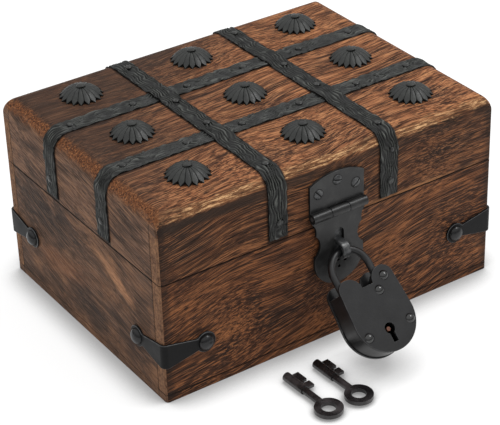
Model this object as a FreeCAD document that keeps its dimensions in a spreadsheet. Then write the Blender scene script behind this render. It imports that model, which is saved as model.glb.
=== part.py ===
import FreeCAD, Part
import math
import os
import Sketcher

doc = FreeCAD.newDocument("chest")
sheet = doc.addObject("Spreadsheet::Sheet", "sizes")


class Size:
    """A length held as a number together with the formula that gives it."""

    def __init__(self, value, text):
        self.value = value
        self.text = text

    def __add__(self, other):
        other = as_size(other)
        return Size(self.value + other.value, "(%s + %s)" % (self.text, other.text))

    def __sub__(self, other):
        other = as_size(other)
        return Size(self.value - other.value, "(%s - %s)" % (self.text, other.text))

    def __mul__(self, other):
        other = as_size(other)
        return Size(self.value * other.value, "(%s * %s)" % (self.text, other.text))

    def __truediv__(self, other):
        other = as_size(other)
        return Size(self.value / other.value, "(%s / %s)" % (self.text, other.text))

    def __neg__(self):
        return Size(-self.value, "(0 - %s)" % self.text)


def as_size(value):
    if isinstance(value, Size):
        return value
    return Size(float(value), repr(float(value)))


def sine(angle):
    return Size(math.sin(math.radians(angle.value)), "sin(%s)" % angle.text)


def cosine(angle):
    return Size(math.cos(math.radians(angle.value)), "cos(%s)" % angle.text)


def arc_cosine(ratio):
    return Size(math.degrees(math.acos(ratio.value)), "acos(%s)" % ratio.text)


def arc_tangent(ratio):
    return Size(math.degrees(math.atan(ratio.value)), "atan(%s)" % ratio.text)


def root(square):
    return Size(math.sqrt(square.value), "sqrt(%s)" % square.text)


def bind(thing, path, size):
    thing.setExpression(path, as_size(size).text)


# Wooden chest
chest_width = 203.2
chest_depth = 152.4
base_thickness = 4.5
wall = 7.0
seam_height = 68.0
seam_gap = 0.2
rail_height = 26.6
top_thickness = 11.0
top_edge_radius = 9.0
corner_radius = 2.0

# Flat bands over the lid
band_width = 10.8
band_thickness = 1.0
band_step = 3.0
band_end_rise = 2.0

# Studs on the lid
petal_count = 18
stud_radius = 11.4
stud_point = 1.6
stud_edge = 0.5
stud_shoulder = 8.1
stud_shoulder_rise = 3.5
stud_crown = 3.8
stud_height = 5.3
button_radius = 3.0
button_edge = 0.6
button_height = 1.5

# Corner brackets and their nails
bracket_thickness = 1.2
bracket_reach = 23.4
bracket_lobe = 5.6
bracket_level = 31.4
near_bracket_drop = 3.6
bracket_half_height = 6.8
nail_radius = 1.4
nail_depth = 5.0
nail_head_radius = 4.3
nail_head_height = 2.8

# Hasp and staple
hasp_offset = 1.0
leaf_thickness = 1.5
leaf_width = 32.8
leaf_shoulder = 17.0
leaf_arch_rise = 4.4
hasp_axis_rise = 7.0
knuckle_radius = 2.6
hasp_pin_radius = 1.2
pin_clearance = 0.05
turning_gap = 0.3
strap_cusp = 14.0
strap_cusp_drop = 10.8
strap_waist = 11.4
strap_waist_drop = 16.2
strap_scallop = 8.0
strap_end_radius = 15.0
strap_end_drop = 27.0
slot_half_width = 2.9
slot_top_drop = 13.4
slot_length = 13.4
strap_hole_radius = 0.9
strap_hole_spread = 3.7
strap_hole_drop = 30.4
strap_low_hole_drop = 33.0
staple_drop = 21.75
staple_width = 4.3
staple_thickness = 1.5
staple_bend_radius = 3.4
staple_leg = 5.3
staple_play = 0.55
staple_plate_half_width = 7.0
staple_plate_half_height = 11.0
staple_plate_thickness = 1.2

# Butt hinges on the back
hinge_inset = 35.6
hinge_width = 30.0
hinge_leaf_height = 16.0
hinge_thickness = 1.2
hinge_knuckle_radius = 2.2
hinge_pin_radius = 1.0

# Padlock
lock_tilt = 45.0
lock_roll = 2.6
lock_half_depth = 7.5
plate_thickness = 1.5
case_radius = 17.6
case_drop = 0.6
lobe_radius = 5.5
lobe_spread = 10.9
lobe_rise = 18.3
shoulder_radius = 7.2
window_half_width = 3.3
window_floor = 17.0
rim_inset = 0.5
rim_thickness = 1.2
rod_radius = 1.9
shackle_leg = 9.4
eye_radius = 3.5
eye_thickness = 3.2
tail_bottom = 10.5
pivot_radius = 1.5
lock_head_radius = 2.6
lock_head_height = 1.5
rivet_radius = 1.0
rivet_side = 13.0
rivet_drop = 6.6
rivet_upper_side = 4.8
rivet_upper_rise = 12.6
keyhole_drop = 6.6
keyhole_radius = 2.9
keyhole_slot_half = 1.4
keyhole_slot_drop = 13.8
drill_pin_radius = 1.1
bolt_level = 13.4
bolt_half_height = 1.5
bolt_tip = 8.5
bolt_tail = 2.5
bolt_rest_gap = 0.1
notch_depth = 1.8
notch_play = 0.3

# Keys
key_length = 33.5
barrel_radius = 2.4
barrel_length = 14.8
barrel_bore = 1.35
barrel_bore_depth = 13.0
shank_radius = 1.9
neck_length = 6.2
neck_half_width = 4.6
neck_curve = 5.0
bow_radius = 7.3
bow_hole = 3.8
bow_half_thickness = 1.1
bit_reach = 6.2
bit_half_thickness = 0.8
bit_setback = 1.5
bit_length = 14.5
bit_notch_start = 8.4
bit_notch_width = 2.0
bit_notch_depth = 3.0
key_1_across = 43.6
key_2_across = 25.4
key_forward = 95.0
key_turn = 2.5

# Each number above gets a cell of its own in the sheet and carries that cell's name from here on.
numbers = [(name, value) for name, value in globals().items() if isinstance(value, float)]
for row, (name, value) in enumerate(numbers, start=1):
    sheet.set("A%d" % row, name)
    sheet.set("B%d" % row, repr(value))
    sheet.setAlias("B%d" % row, name)
    globals()[name] = Size(value, "sizes." + name)

zero = as_size(0.0)
right_angle = Size(90.0, "90 deg")
half_width = chest_width / 2
half_depth = chest_depth / 2
rail_bottom = seam_height + seam_gap
top_bottom = rail_bottom + rail_height
chest_top = top_bottom + top_thickness

pieces = []


def new_body(label):
    body = doc.addObject("PartDesign::Body", label)
    body.Label = label
    return body


def keep(piece, label):
    piece.Label = label
    pieces.append(piece)
    return piece


def place(piece, x, y, z):
    bind(piece, "Placement.Base.x", x)
    bind(piece, "Placement.Base.y", y)
    bind(piece, "Placement.Base.z", z)


def turn(piece, rotation):
    piece.Placement = FreeCAD.Placement(FreeCAD.Vector(0, 0, 0), rotation)


def about(x, y, z, angle):
    return FreeCAD.Rotation(FreeCAD.Vector(x, y, z), angle)


def new_sketch(body, plane, out=zero, up=zero):
    sketch = body.newObject("Sketcher::SketchObject", body.Name + "_sketch")
    base = [item for item in body.Origin.OriginFeatures if item.Role == plane][0]
    sketch.AttachmentSupport = [(base, "")]
    sketch.MapMode = "FlatFace"
    bind(sketch, "AttachmentOffset.Base.z", out)
    bind(sketch, "AttachmentOffset.Base.y", up)
    return sketch


def fix(sketch, kind, places, size):
    size = as_size(size)
    index = sketch.addConstraint(Sketcher.Constraint(kind, *places, size.value))
    sketch.setExpression("Constraints[%d]" % index, size.text)


def pin_point(sketch, geometry, point, x, y):
    fix(sketch, "DistanceX", (-1, 1, geometry, point), x)
    fix(sketch, "DistanceY", (-1, 1, geometry, point), y)


def bend(start, finish, radius, sign):
    chord = finish - start
    across = FreeCAD.Vector(-chord.y, chord.x, 0).normalize()
    rise = math.sqrt(max(radius * radius - chord.Length * chord.Length / 4, 0.0))
    centre = (start + finish) * 0.5 + across * (rise * sign)
    first, last = (start, finish) if sign > 0 else (finish, start)
    begin = math.atan2(first.y - centre.y, first.x - centre.x)
    end = math.atan2(last.y - centre.y, last.x - centre.x)
    if end <= begin:
        end += 2 * math.pi
    return Part.ArcOfCircle(Part.Circle(centre, FreeCAD.Vector(0, 0, 1), radius), begin, end)


def outline(sketch, corners):
    """Closed outline; a corner with a radius and a turn starts an arc to the next corner."""
    corners = [tuple(as_size(item) for item in corner) for corner in corners]
    spots = [FreeCAD.Vector(corner[0].value, corner[1].value, 0) for corner in corners]
    edges = []
    for index, corner in enumerate(corners):
        start = spots[index]
        finish = spots[(index + 1) % len(spots)]
        if len(corner) == 2:
            edges.append((sketch.addGeometry(Part.LineSegment(start, finish)), 1, 2))
        else:
            sign = corner[3].value
            arc = sketch.addGeometry(bend(start, finish, corner[2].value, sign))
            edges.append((arc, 1, 2) if sign > 0 else (arc, 2, 1))
    for index, corner in enumerate(corners):
        geometry, first, last = edges[index]
        following = edges[(index + 1) % len(edges)]
        sketch.addConstraint(Sketcher.Constraint("Coincident", geometry, last, following[0], following[1]))
    for index, corner in enumerate(corners):
        pin_point(sketch, edges[index][0], edges[index][1], corner[0], corner[1])
        if len(corner) > 2:
            fix(sketch, "Radius", (edges[index][0],), corner[2])
    return sketch


def circles(sketch, rounds):
    for x, y, radius in rounds:
        centre = FreeCAD.Vector(as_size(x).value, as_size(y).value, 0)
        ring = Part.Circle(centre, FreeCAD.Vector(0, 0, 1), as_size(radius).value)
        index = sketch.addGeometry(ring)
        pin_point(sketch, index, 3, x, y)
        fix(sketch, "Radius", (index,), radius)
    return sketch


def box_corners(left, bottom, right, top):
    return [(left, bottom), (right, bottom), (right, top), (left, top)]


def pad(body, sketch, length, both=False):
    feature = body.newObject("PartDesign::Pad", body.Name + "_pad")
    feature.Profile = sketch
    if both:
        feature.SideType = "Symmetric"
    bind(feature, "Length", length)
    return feature


def pocket(body, sketch, length, both=True):
    feature = body.newObject("PartDesign::Pocket", body.Name + "_pocket")
    feature.Profile = sketch
    if both:
        feature.SideType = "Symmetric"
    bind(feature, "Length", length)
    return feature


def revolve(body, sketch, axis, angle=360.0):
    feature = body.newObject("PartDesign::Revolution", body.Name + "_turned")
    feature.Profile = sketch
    feature.ReferenceAxis = (sketch, [axis])
    feature.Midplane = True
    bind(feature, "Angle", angle)
    return feature


def round_edges(body, feature, chosen, radius):
    doc.recompute()
    names = ["Edge%d" % (i + 1) for i, edge in enumerate(feature.Shape.Edges) if chosen(edge)]
    fillet = body.newObject("PartDesign::Fillet", body.Name + "_rounding")
    fillet.Base = (feature, names)
    bind(fillet, "Radius", radius)
    return fillet


def turned(label, corners):
    body = new_body(label)
    revolve(body, outline(new_sketch(body, "XZ_Plane"), corners), "V_Axis")
    return body


def group(label, members):
    compound = doc.addObject("Part::Compound", label)
    compound.Links = members
    return keep(compound, label)


def dome(radius, height):
    return (radius * radius + height * height) / (height * 2)


# Box: a bottom board with four walls standing on it, the long walls lapping over the short ones.
base = new_body("box_base")
pad(base, outline(new_sketch(base, "XY_Plane"),
                  box_corners(-half_width, -half_depth, half_width, half_depth)), base_thickness)
keep(base, "box_base")


def upright(edge):
    along = edge.tangentAt(edge.FirstParameter)
    return abs(along.z) > 0.99


def nail_level(side_x, side_y):
    """Height of a bracket's two nails. The front left bracket sits lower than the other three."""
    return bracket_level - near_bracket_drop if (side_x, side_y) == (-1, -1) else bracket_level


def long_wall(label, side, bottom, height, nailed):
    """Wall along X on the front (-1) or back (+1), with the nail holes of the brackets."""
    body = new_body(label)
    inner = (half_depth - wall) * side
    outer = half_depth * side
    low, high = (outer, inner) if side < 0 else (inner, outer)
    block = pad(body, outline(new_sketch(body, "XY_Plane", bottom),
                              box_corners(-half_width, low, half_width, high)), height)
    round_edges(body, block,
                lambda edge: upright(edge) and abs(edge.Vertexes[0].Y - outer.value) < 0.01, corner_radius)
    if nailed:
        reach = half_width - bracket_reach
        spots = [(reach * end, nail_level(end, side), nail_radius) for end in (1, -1)]
        pocket(body, circles(new_sketch(body, "XZ_Plane", -outer), spots), nail_depth * 2)
    return keep(body, label)


def short_wall(label, side, bottom, height, nailed):
    """Wall along Y on the left (-1) or right (+1), standing between the long walls."""
    body = new_body(label)
    inner = (half_width - wall) * side
    outer = half_width * side
    low, high = (outer, inner) if side < 0 else (inner, outer)
    reach = half_depth - wall
    pad(body, outline(new_sketch(body, "XY_Plane", bottom),
                      box_corners(low, -reach, high, reach)), height)
    if nailed:
        spot = half_depth - bracket_reach
        spots = [(spot * end, nail_level(side, end), nail_radius) for end in (1, -1)]
        pocket(body, circles(new_sketch(body, "YZ_Plane", outer), spots), nail_depth * 2)
    return keep(body, label)


box_wall_height = seam_height - base_thickness
long_wall("box_front", -1, base_thickness, box_wall_height, True)
long_wall("box_back", 1, base_thickness, box_wall_height, True)
short_wall("box_left", -1, base_thickness, box_wall_height, True)
short_wall("box_right", 1, base_thickness, box_wall_height, True)

# Lid: four rails under a thick top board whose upper edges are rounded.
long_wall("lid_front", -1, rail_bottom, rail_height, False)
long_wall("lid_back", 1, rail_bottom, rail_height, False)
short_wall("lid_left", -1, rail_bottom, rail_height, False)
short_wall("lid_right", 1, rail_bottom, rail_height, False)

lid_top = new_body("lid_top")
board = pad(lid_top, outline(new_sketch(lid_top, "XY_Plane", top_bottom),
                             box_corners(-half_width, -half_depth, half_width, half_depth)), top_thickness)
corners_done = round_edges(lid_top, board, upright, corner_radius)
round_edges(lid_top, corners_done,
            lambda edge: min(point.Z for point in edge.Vertexes) > chest_top.value - 0.01, top_edge_radius)
keep(lid_top, "lid_top")

# Bands: flat strips bent over the rounded lid edges, the long ones stepping over the cross ones.
band_end = rail_bottom + band_end_rise


def band_profile(half_span, crossings):
    """Closed edge view of one band: the wood side first, then the outer side back again."""
    outer_radius = top_edge_radius + band_thickness
    under = [(-half_span, band_end), (-half_span, chest_top - top_edge_radius, top_edge_radius, -1.0),
             (-half_span + top_edge_radius, chest_top)]
    over = [(half_span + band_thickness, band_end),
            (half_span + band_thickness, chest_top - top_edge_radius, outer_radius, 1.0),
            (half_span - top_edge_radius, chest_top + band_thickness)]
    steps = []
    for middle in crossings:
        near = band_width / 2
        far = near + band_step
        steps += [(middle - far, zero), (middle - near, band_thickness),
                  (middle + near, band_thickness), (middle + far, zero)]
    under += [(spot, chest_top + lift) for spot, lift in steps]
    over += [(spot, chest_top + band_thickness + lift) for spot, lift in reversed(steps)]
    under += [(half_span - top_edge_radius, chest_top, top_edge_radius, -1.0),
              (half_span, chest_top - top_edge_radius), (half_span, band_end)]
    over += [(-half_span + top_edge_radius, chest_top + band_thickness, outer_radius, 1.0),
             (-half_span - band_thickness, chest_top - top_edge_radius),
             (-half_span - band_thickness, band_end)]
    return under + over


def band(label, plane, half_span, crossings, x, y):
    body = new_body(label)
    pad(body, outline(new_sketch(body, plane), band_profile(half_span, crossings)), band_width, True)
    place(body, x, y, zero)
    return keep(body, label)


cross_place = chest_depth / 6
long_place = chest_width / 6
band("band_left", "YZ_Plane", half_depth, [-cross_place, cross_place], -long_place, zero)
band("band_right", "YZ_Plane", half_depth, [-cross_place, cross_place], long_place, zero)
band("band_rear", "XZ_Plane", half_width, [], zero, cross_place)
band("band_fore", "XZ_Plane", half_width, [], zero, -cross_place)

# Studs: nine rosettes on the thirds of the lid, each a button ringed by pleated petals with pointed tips.
def petal_ring(level, ridge):
    """Closed star line at a height: the ridge of every petal, with the hollows drawn in between them."""
    hollow = ridge * (stud_radius - stud_point) / stud_radius
    points = []
    for step in range(2 * petal_count + 1):
        angle = math.pi * step / petal_count
        reach = ridge if step % 2 == 0 else hollow
        spot = FreeCAD.Vector(math.cos(angle), math.sin(angle), 0) * reach.value
        points.append(spot + FreeCAD.Vector(0, 0, level.value))
    return Part.makePolygon(points)


petal_rings = [petal_ring(zero, stud_radius), petal_ring(stud_edge, stud_radius),
               petal_ring(stud_shoulder_rise, stud_shoulder), petal_ring(stud_height, stud_crown)]
button_curve = dome(button_radius, button_height - button_edge)
button_profile = [(zero, zero), (button_radius, zero),
                  (button_radius, stud_height + button_edge, button_curve, 1.0),
                  (zero, stud_height + button_height)]
studs = []
for row in (-1, 0, 1):
    for column in (-1, 0, 1):
        number = len(studs) + 1
        petals = doc.addObject("Part::Feature", "petals_%d" % number)
        petals.Shape = Part.makeLoft(petal_rings, True, True)
        button = turned("button_%d" % number, button_profile)
        stud = doc.addObject("Part::Fuse", "stud_%d" % number)
        stud.Base = petals
        stud.Tool = button
        place(stud, chest_width / 3 * column, chest_depth / 3 * row, chest_top)
        studs.append(stud)
group("studs", studs)

# Corner brackets: one bent plate round each upright corner, each arm ending in a nailed round lobe.
lobe_near = bracket_reach - bracket_lobe * 0.8
lobe_half = bracket_lobe * 0.6


def arm(body, plane, out):
    shape = [(corner_radius, -bracket_half_height), (lobe_near, -lobe_half, bracket_lobe, 1.0),
             (bracket_reach + bracket_lobe, zero, bracket_lobe, 1.0),
             (lobe_near, lobe_half), (corner_radius, bracket_half_height)]
    pad(body, outline(new_sketch(body, plane, out), shape), bracket_thickness)


bracket_outer = corner_radius + bracket_thickness
for label, side_x, side_y, angle in (("bracket_front_left", -1, -1, 0), ("bracket_front_right", 1, -1, 90),
                                     ("bracket_back_right", 1, 1, 180), ("bracket_back_left", -1, 1, 270)):
    bracket = new_body(label)
    arm(bracket, "XZ_Plane", zero)
    arm(bracket, "YZ_Plane", -bracket_thickness)
    bend_plan = [(zero, corner_radius, corner_radius, 1.0), (corner_radius, zero),
                 (corner_radius, -bracket_thickness, bracket_outer, -1.0),
                 (-bracket_thickness, corner_radius)]
    corner = outline(new_sketch(bracket, "XY_Plane", -bracket_half_height), bend_plan)
    pad(bracket, corner, bracket_half_height * 2)
    hole = [(bracket_reach, zero, nail_radius)]
    pocket(bracket, circles(new_sketch(bracket, "XZ_Plane"), hole), bracket_thickness * 3)
    pocket(bracket, circles(new_sketch(bracket, "YZ_Plane"), hole), bracket_thickness * 3)
    turn(bracket, about(0, 0, 1, angle))
    place(bracket, half_width * side_x, half_depth * side_y, nail_level(side_x, side_y))
    keep(bracket, label)

nail_profile = [(zero, -(bracket_thickness + nail_depth)), (nail_radius, -(bracket_thickness + nail_depth)),
                (nail_radius, zero), (nail_head_radius, zero, dome(nail_head_radius, nail_head_height), 1.0),
                (zero, nail_head_height)]
nails = []
for side_x in (-1, 1):
    for side_y in (-1, 1):
        nail = turned("nail_%d" % (len(nails) + 1), nail_profile)
        turn(nail, about(1, 0, 0, -90 * side_y))
        place(nail, (half_width - bracket_reach) * side_x, (half_depth + bracket_thickness) * side_y,
              nail_level(side_x, side_y))
        nails.append(nail)
        nail = turned("nail_%d" % (len(nails) + 1), nail_profile)
        turn(nail, about(0, 1, 0, 90 * side_x))
        place(nail, (half_width + bracket_thickness) * side_x, (half_depth - bracket_reach) * side_y,
              nail_level(side_x, side_y))
        nails.append(nail)
group("bracket_rivets", nails)


def knuckles(body, spans, radius, out, level):
    """Short barrels along X round one axis."""
    for left, right in spans:
        sketch = circles(new_sketch(body, "YZ_Plane", left), [(out, level, radius)])
        pad(body, sketch, right - left)


def clear_knuckles(body, spans, radius, out, level):
    for left, right in spans:
        sketch = circles(new_sketch(body, "YZ_Plane", (left + right) / 2), [(out, level, radius)])
        pocket(body, sketch, right - left)


def bore(body, radius, out, level, length):
    pocket(body, circles(new_sketch(body, "YZ_Plane"), [(out, level, radius)]), length)


def three_spans(width, gap):
    """Outer pair of barrels and the middle one, with a small gap between neighbours."""
    half = width / 2
    third = width / 6
    outer = [(-half, -third - gap / 2), (third + gap / 2, half)]
    middle = [(-third + gap / 2, third - gap / 2)]
    return outer, middle


# Hasp: a leaf on the lid and a swinging strap, hinged on a pin through three knuckles.
hasp_axis = seam_height + hasp_axis_rise
hasp_out = -(half_depth + knuckle_radius + turning_gap)
leaf_half = leaf_width / 2
hasp_outer, hasp_middle = three_spans(leaf_width, turning_gap)
strap_top = hasp_axis - knuckle_radius - turning_gap

leaf = new_body("hasp_leaf")
arch = dome(leaf_half, leaf_arch_rise)
leaf_shape = [(-leaf_half, hasp_axis), (leaf_half, hasp_axis),
              (leaf_half, hasp_axis + leaf_shoulder, arch, 1.0), (-leaf_half, hasp_axis + leaf_shoulder)]
pad(leaf, outline(new_sketch(leaf, "XZ_Plane", half_depth), leaf_shape), leaf_thickness)
knuckles(leaf, hasp_outer, knuckle_radius, hasp_out, hasp_axis)
middle_room = [(hasp_middle[0][0] - turning_gap, hasp_middle[0][1] + turning_gap)]
clear_knuckles(leaf, middle_room, knuckle_radius + turning_gap, hasp_out, hasp_axis)
bore(leaf, hasp_pin_radius, hasp_out, hasp_axis, leaf_width * 2)
place(leaf, hasp_offset, zero, zero)
keep(leaf, "hasp_leaf")

strap = new_body("hasp_strap")
strap_plane = half_depth + staple_plate_thickness + turning_gap
cusp_level = hasp_axis - strap_cusp_drop
waist_level = hasp_axis - strap_waist_drop
end_level = hasp_axis - strap_end_drop
shoulder_out = strap_end_radius * 0.97
shoulder_up = root(strap_end_radius * strap_end_radius - shoulder_out * shoulder_out)
tongue = hasp_middle[0][1]
strap_shape = [(strap_waist, waist_level, strap_scallop, -1.0), (strap_cusp, cusp_level, strap_scallop, -1.0),
               (leaf_half, strap_top), (tongue, strap_top), (tongue, hasp_axis), (-tongue, hasp_axis),
               (-tongue, strap_top), (-leaf_half, strap_top, strap_scallop, -1.0),
               (-strap_cusp, cusp_level, strap_scallop, -1.0),
               (-strap_waist, waist_level, strap_scallop, -1.0),
               (-shoulder_out, end_level + shoulder_up, strap_end_radius, 1.0),
               (zero, end_level - strap_end_radius, strap_end_radius, 1.0),
               (shoulder_out, end_level + shoulder_up, strap_scallop, -1.0)]
pad(strap, outline(new_sketch(strap, "XZ_Plane", strap_plane), strap_shape), leaf_thickness)
knuckles(strap, hasp_middle, knuckle_radius, hasp_out, hasp_axis)
slot_top = hasp_axis - slot_top_drop
slot_bottom = slot_top - slot_length
slot_shape = [(-slot_half_width, slot_bottom, slot_half_width, 1.0),
              (zero, slot_bottom - slot_half_width, slot_half_width, 1.0),
              (slot_half_width, slot_bottom), (slot_half_width, slot_top, slot_half_width, 1.0),
              (zero, slot_top + slot_half_width, slot_half_width, 1.0), (-slot_half_width, slot_top)]
pocket(strap, outline(new_sketch(strap, "XZ_Plane", strap_plane), slot_shape), leaf_thickness * 4)
strap_holes = [(strap_hole_spread, hasp_axis - strap_hole_drop, strap_hole_radius),
               (-strap_hole_spread, hasp_axis - strap_hole_drop, strap_hole_radius),
               (zero, hasp_axis - strap_low_hole_drop, strap_hole_radius)]
pocket(strap, circles(new_sketch(strap, "XZ_Plane", strap_plane), strap_holes), leaf_thickness * 4)
bore(strap, hasp_pin_radius + pin_clearance, hasp_out, hasp_axis, leaf_width * 2)
place(strap, hasp_offset, zero, zero)
keep(strap, "hasp_strap")

hasp_pin = new_body("hasp_pin")
pin_shape = [(hasp_out, hasp_axis, hasp_pin_radius)]
pad(hasp_pin, circles(new_sketch(hasp_pin, "YZ_Plane"), pin_shape), leaf_width, True)
place(hasp_pin, hasp_offset, zero, zero)
keep(hasp_pin, "hasp_pin")

# Staple: a flat strip bent to a loop that stands out through the slot of the strap.
rod_out = half_depth + staple_leg
loop_outer = staple_bend_radius + staple_thickness
loop_level = hasp_axis - staple_drop
rod_level = loop_level - (staple_bend_radius - rod_radius - staple_play)

staple = new_body("staple")
plate_shape = box_corners(-staple_plate_half_width, loop_level - staple_plate_half_height,
                          staple_plate_half_width, loop_level + staple_plate_half_height)
pad(staple, outline(new_sketch(staple, "XZ_Plane", half_depth), plate_shape), staple_plate_thickness)
loop_shape = [(-half_depth, loop_level + loop_outer), (-rod_out, loop_level + loop_outer, loop_outer, 1.0),
              (-rod_out - loop_outer, loop_level, loop_outer, 1.0),
              (-rod_out, loop_level - loop_outer), (-half_depth, loop_level - loop_outer),
              (-half_depth, loop_level - staple_bend_radius),
              (-rod_out, loop_level - staple_bend_radius, staple_bend_radius, -1.0),
              (-rod_out - staple_bend_radius, loop_level, staple_bend_radius, -1.0),
              (-rod_out, loop_level + staple_bend_radius), (-half_depth, loop_level + staple_bend_radius)]
pad(staple, outline(new_sketch(staple, "YZ_Plane"), loop_shape), staple_width, True)
place(staple, hasp_offset, zero, zero)
keep(staple, "staple")

# Butt hinges: a leaf on the lid, a leaf on the box and a pin, the barrel standing out behind the chest.
hinge_axis = seam_height + seam_gap / 2
hinge_out = half_depth + hinge_knuckle_radius + turning_gap
hinge_half = hinge_width / 2
hinge_outer, hinge_middle = three_spans(hinge_width, turning_gap)
knuckle_room = hinge_knuckle_radius + turning_gap


def hinge_leaf(label, x, direction, own, others):
    """One leaf: a plate on the wood and its barrels, cut away round the barrels of the other leaf."""
    body = new_body(label)
    far = hinge_axis + hinge_leaf_height * direction
    low, high = (hinge_axis, far) if direction > 0 else (far, hinge_axis)
    back = -half_depth - hinge_thickness
    pad(body, outline(new_sketch(body, "XZ_Plane", back), box_corners(-hinge_half, low, hinge_half, high)),
        hinge_thickness)
    knuckles(body, own, hinge_knuckle_radius, hinge_out, hinge_axis)
    rooms = [(left - turning_gap, right + turning_gap) for left, right in others]
    clear_knuckles(body, rooms, knuckle_room, hinge_out, hinge_axis)
    clearance = zero if direction < 0 else pin_clearance
    bore(body, hinge_pin_radius + clearance, hinge_out, hinge_axis, hinge_width * 2)
    place(body, x, zero, zero)
    return keep(body, label)


for name, side in (("left", -1), ("right", 1)):
    across = (half_width - hinge_inset) * side
    hinge_leaf("hinge_%s_lid_leaf" % name, across, 1, hinge_middle, hinge_outer)
    hinge_leaf("hinge_%s_box_leaf" % name, across, -1, hinge_outer, hinge_middle)
    pin = new_body("hinge_%s_pin" % name)
    pin_shape = [(hinge_out, hinge_axis, hinge_pin_radius)]
    pad(pin, circles(new_sketch(pin, "YZ_Plane"), pin_shape), hinge_width, True)
    place(pin, across, zero, zero)
    keep(pin, "hinge_%s_pin" % name)

# Padlock: it hangs by its ring from the staple and leans out, modelled upright and then set in place.
ring_rise = lobe_rise + shackle_leg
lock_rotation = about(1, 0, 0, -lock_tilt.value) * about(0, -1, 0, lock_roll.value)
hang = lobe_spread + ring_rise * cosine(lock_roll)
lock_x = hasp_offset + ring_rise * sine(lock_roll)
lock_y = -rod_out - hang * sine(lock_tilt)
lock_z = rod_level - hang * cosine(lock_tilt)


def set_lock(piece):
    turn(piece, lock_rotation)
    place(piece, lock_x, lock_y, lock_z)


def set_lock_pin(piece, u, v):
    """Stand a turned pin on the lock's front-to-back direction at a spot of its face."""
    turn(piece, lock_rotation * about(1, 0, 0, 90))
    rolled_u = u * cosine(lock_roll) - v * sine(lock_roll)
    rolled_v = u * sine(lock_roll) + v * cosine(lock_roll)
    place(piece, lock_x + rolled_u, lock_y + rolled_v * sine(lock_tilt),
          lock_z + rolled_v * cosine(lock_tilt))


lobe_height = lobe_rise + case_drop
lobe_distance = root(lobe_spread * lobe_spread + lobe_height * lobe_height)
side_angle = arc_tangent(lobe_height / lobe_spread) - arc_cosine((case_radius - lobe_radius) / lobe_distance)


def case_spot(inset, side):
    reach = case_radius - inset
    return reach * cosine(side_angle) * side, reach * sine(side_angle) - case_drop


def lobe_spot(inset, side):
    reach = lobe_radius - inset
    return (lobe_spread + reach * cosine(side_angle)) * side, lobe_rise + reach * sine(side_angle)


def lock_plate(label, out):
    body = new_body(label)
    top = lobe_rise + lobe_radius
    shape = [(zero, -case_radius - case_drop, case_radius, 1.0), case_spot(zero, 1),
             lobe_spot(zero, 1) + (lobe_radius, 1.0), (lobe_spread, top, shoulder_radius, 1.0),
             (window_half_width, window_floor), (-window_half_width, window_floor, shoulder_radius, 1.0),
             (-lobe_spread, top, lobe_radius, 1.0), lobe_spot(zero, -1),
             case_spot(zero, -1) + (case_radius, 1.0)]
    pad(body, outline(new_sketch(body, "XZ_Plane", out), shape), plate_thickness)
    holes = [(lobe_spread, lobe_rise, pivot_radius), (rivet_side, -rivet_drop, rivet_radius),
             (-rivet_side, -rivet_drop, rivet_radius), (rivet_upper_side, rivet_upper_rise, rivet_radius)]
    pocket(body, circles(new_sketch(body, "XZ_Plane", out), holes), plate_thickness * 4)
    return body


back_plate = lock_plate("lock_back_plate", -lock_half_depth)
pocket(back_plate, circles(new_sketch(back_plate, "XZ_Plane", -lock_half_depth),
                           [(zero, -keyhole_drop, drill_pin_radius)]), plate_thickness * 4)
set_lock(back_plate)
keep(back_plate, "lock_back_plate")

front_plate = lock_plate("lock_front_plate", lock_half_depth - plate_thickness)
eye = root(keyhole_radius * keyhole_radius - keyhole_slot_half * keyhole_slot_half)
keyhole = [(keyhole_slot_half, -keyhole_drop - eye, keyhole_radius, 1.0),
           (zero, -keyhole_drop + keyhole_radius, keyhole_radius, 1.0),
           (-keyhole_slot_half, -keyhole_drop - eye), (-keyhole_slot_half, -keyhole_slot_drop),
           (keyhole_slot_half, -keyhole_slot_drop)]
pocket(front_plate, outline(new_sketch(front_plate, "XZ_Plane", lock_half_depth), keyhole),
       plate_thickness * 4)
set_lock(front_plate)
keep(front_plate, "lock_front_plate")

rim = new_body("lock_rim")
inside = rim_inset + rim_thickness
rim_shape = [(zero, -case_radius - case_drop + rim_inset, case_radius - rim_inset, 1.0),
             case_spot(rim_inset, 1), lobe_spot(rim_inset, 1), lobe_spot(inside, 1),
             case_spot(inside, 1) + (case_radius - inside, -1.0),
             (zero, -case_radius - case_drop + inside, case_radius - inside, -1.0), case_spot(inside, -1),
             lobe_spot(inside, -1), lobe_spot(rim_inset, -1),
             case_spot(rim_inset, -1) + (case_radius - rim_inset, 1.0)]
pad(rim, outline(new_sketch(rim, "XZ_Plane", plate_thickness - lock_half_depth), rim_shape),
    (lock_half_depth - plate_thickness) * 2)
set_lock(rim)
keep(rim, "lock_rim")


def headed_rivet(label, radius, u, v):
    """Rivet through both plates with a low dome at each end."""
    curve = dome(lock_head_radius, lock_head_height)
    body = turned(label, [(zero, -lock_half_depth - lock_head_height, curve, 1.0),
                          (lock_head_radius, -lock_half_depth), (radius, -lock_half_depth),
                          (radius, lock_half_depth), (lock_head_radius, lock_half_depth, curve, 1.0),
                          (zero, lock_half_depth + lock_head_height)])
    set_lock_pin(body, u, v)
    return body


group("lock_rivets", [headed_rivet("rivet_1", rivet_radius, rivet_side, -rivet_drop),
                      headed_rivet("rivet_2", rivet_radius, -rivet_side, -rivet_drop),
                      headed_rivet("rivet_3", rivet_radius, rivet_upper_side, rivet_upper_rise)])
keep(headed_rivet("lock_pivot", pivot_radius, lobe_spread, lobe_rise), "lock_pivot")

drill_pin = turned("lock_drill_pin", box_corners(zero, -lock_half_depth, drill_pin_radius,
                                                 lock_half_depth - plate_thickness))
set_lock_pin(drill_pin, zero, -keyhole_drop)
keep(drill_pin, "lock_drill_pin")

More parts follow.
